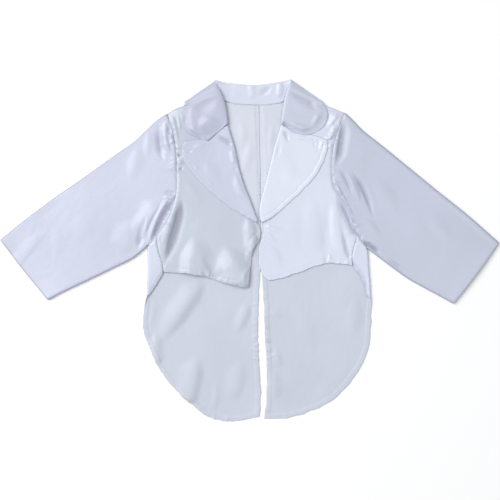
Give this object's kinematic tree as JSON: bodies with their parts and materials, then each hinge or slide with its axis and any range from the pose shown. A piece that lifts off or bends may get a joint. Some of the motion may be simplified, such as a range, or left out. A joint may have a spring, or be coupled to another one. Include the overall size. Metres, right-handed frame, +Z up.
{
  "type": "jacket",
  "caption": "Small child's tail coat in plain satin, laid out flat face up, with a turned collar, broad lapels, long sleeves, cutaway fronts and rounded tails.",
  "frame": {"origin": "middle of the base of the bounding box, on the surface that the coat lies on", "axes": "+X along the sleeves towards the viewer's right, +Y from the tails to the collar, +Z up from the surface towards the viewer"},
  "size_m": [0.7491, 0.5136, 0.0111],
  "materials": {
    "reverse_satin": "dull woven reverse of a satin",
    "front_satin": "smooth polyester satin with a soft sheen",
    "sleeve_satin": "smooth polyester satin with a soft sheen",
    "lapel_satin": "smooth polyester satin with a soft sheen, pressed",
    "collar_satin": "smooth polyester satin with a soft sheen, pressed"
  },
  "bodies": {
    "root": {"back_left": "reverse_satin", "back_right": "reverse_satin", "front_left": "front_satin", "front_right": "front_satin", "lapel_left": "lapel_satin", "lapel_right": "lapel_satin", "collar": "collar_satin", "sleeve_left": "sleeve_satin", "sleeve_right": "sleeve_satin"}
  },
  "joints": []
}
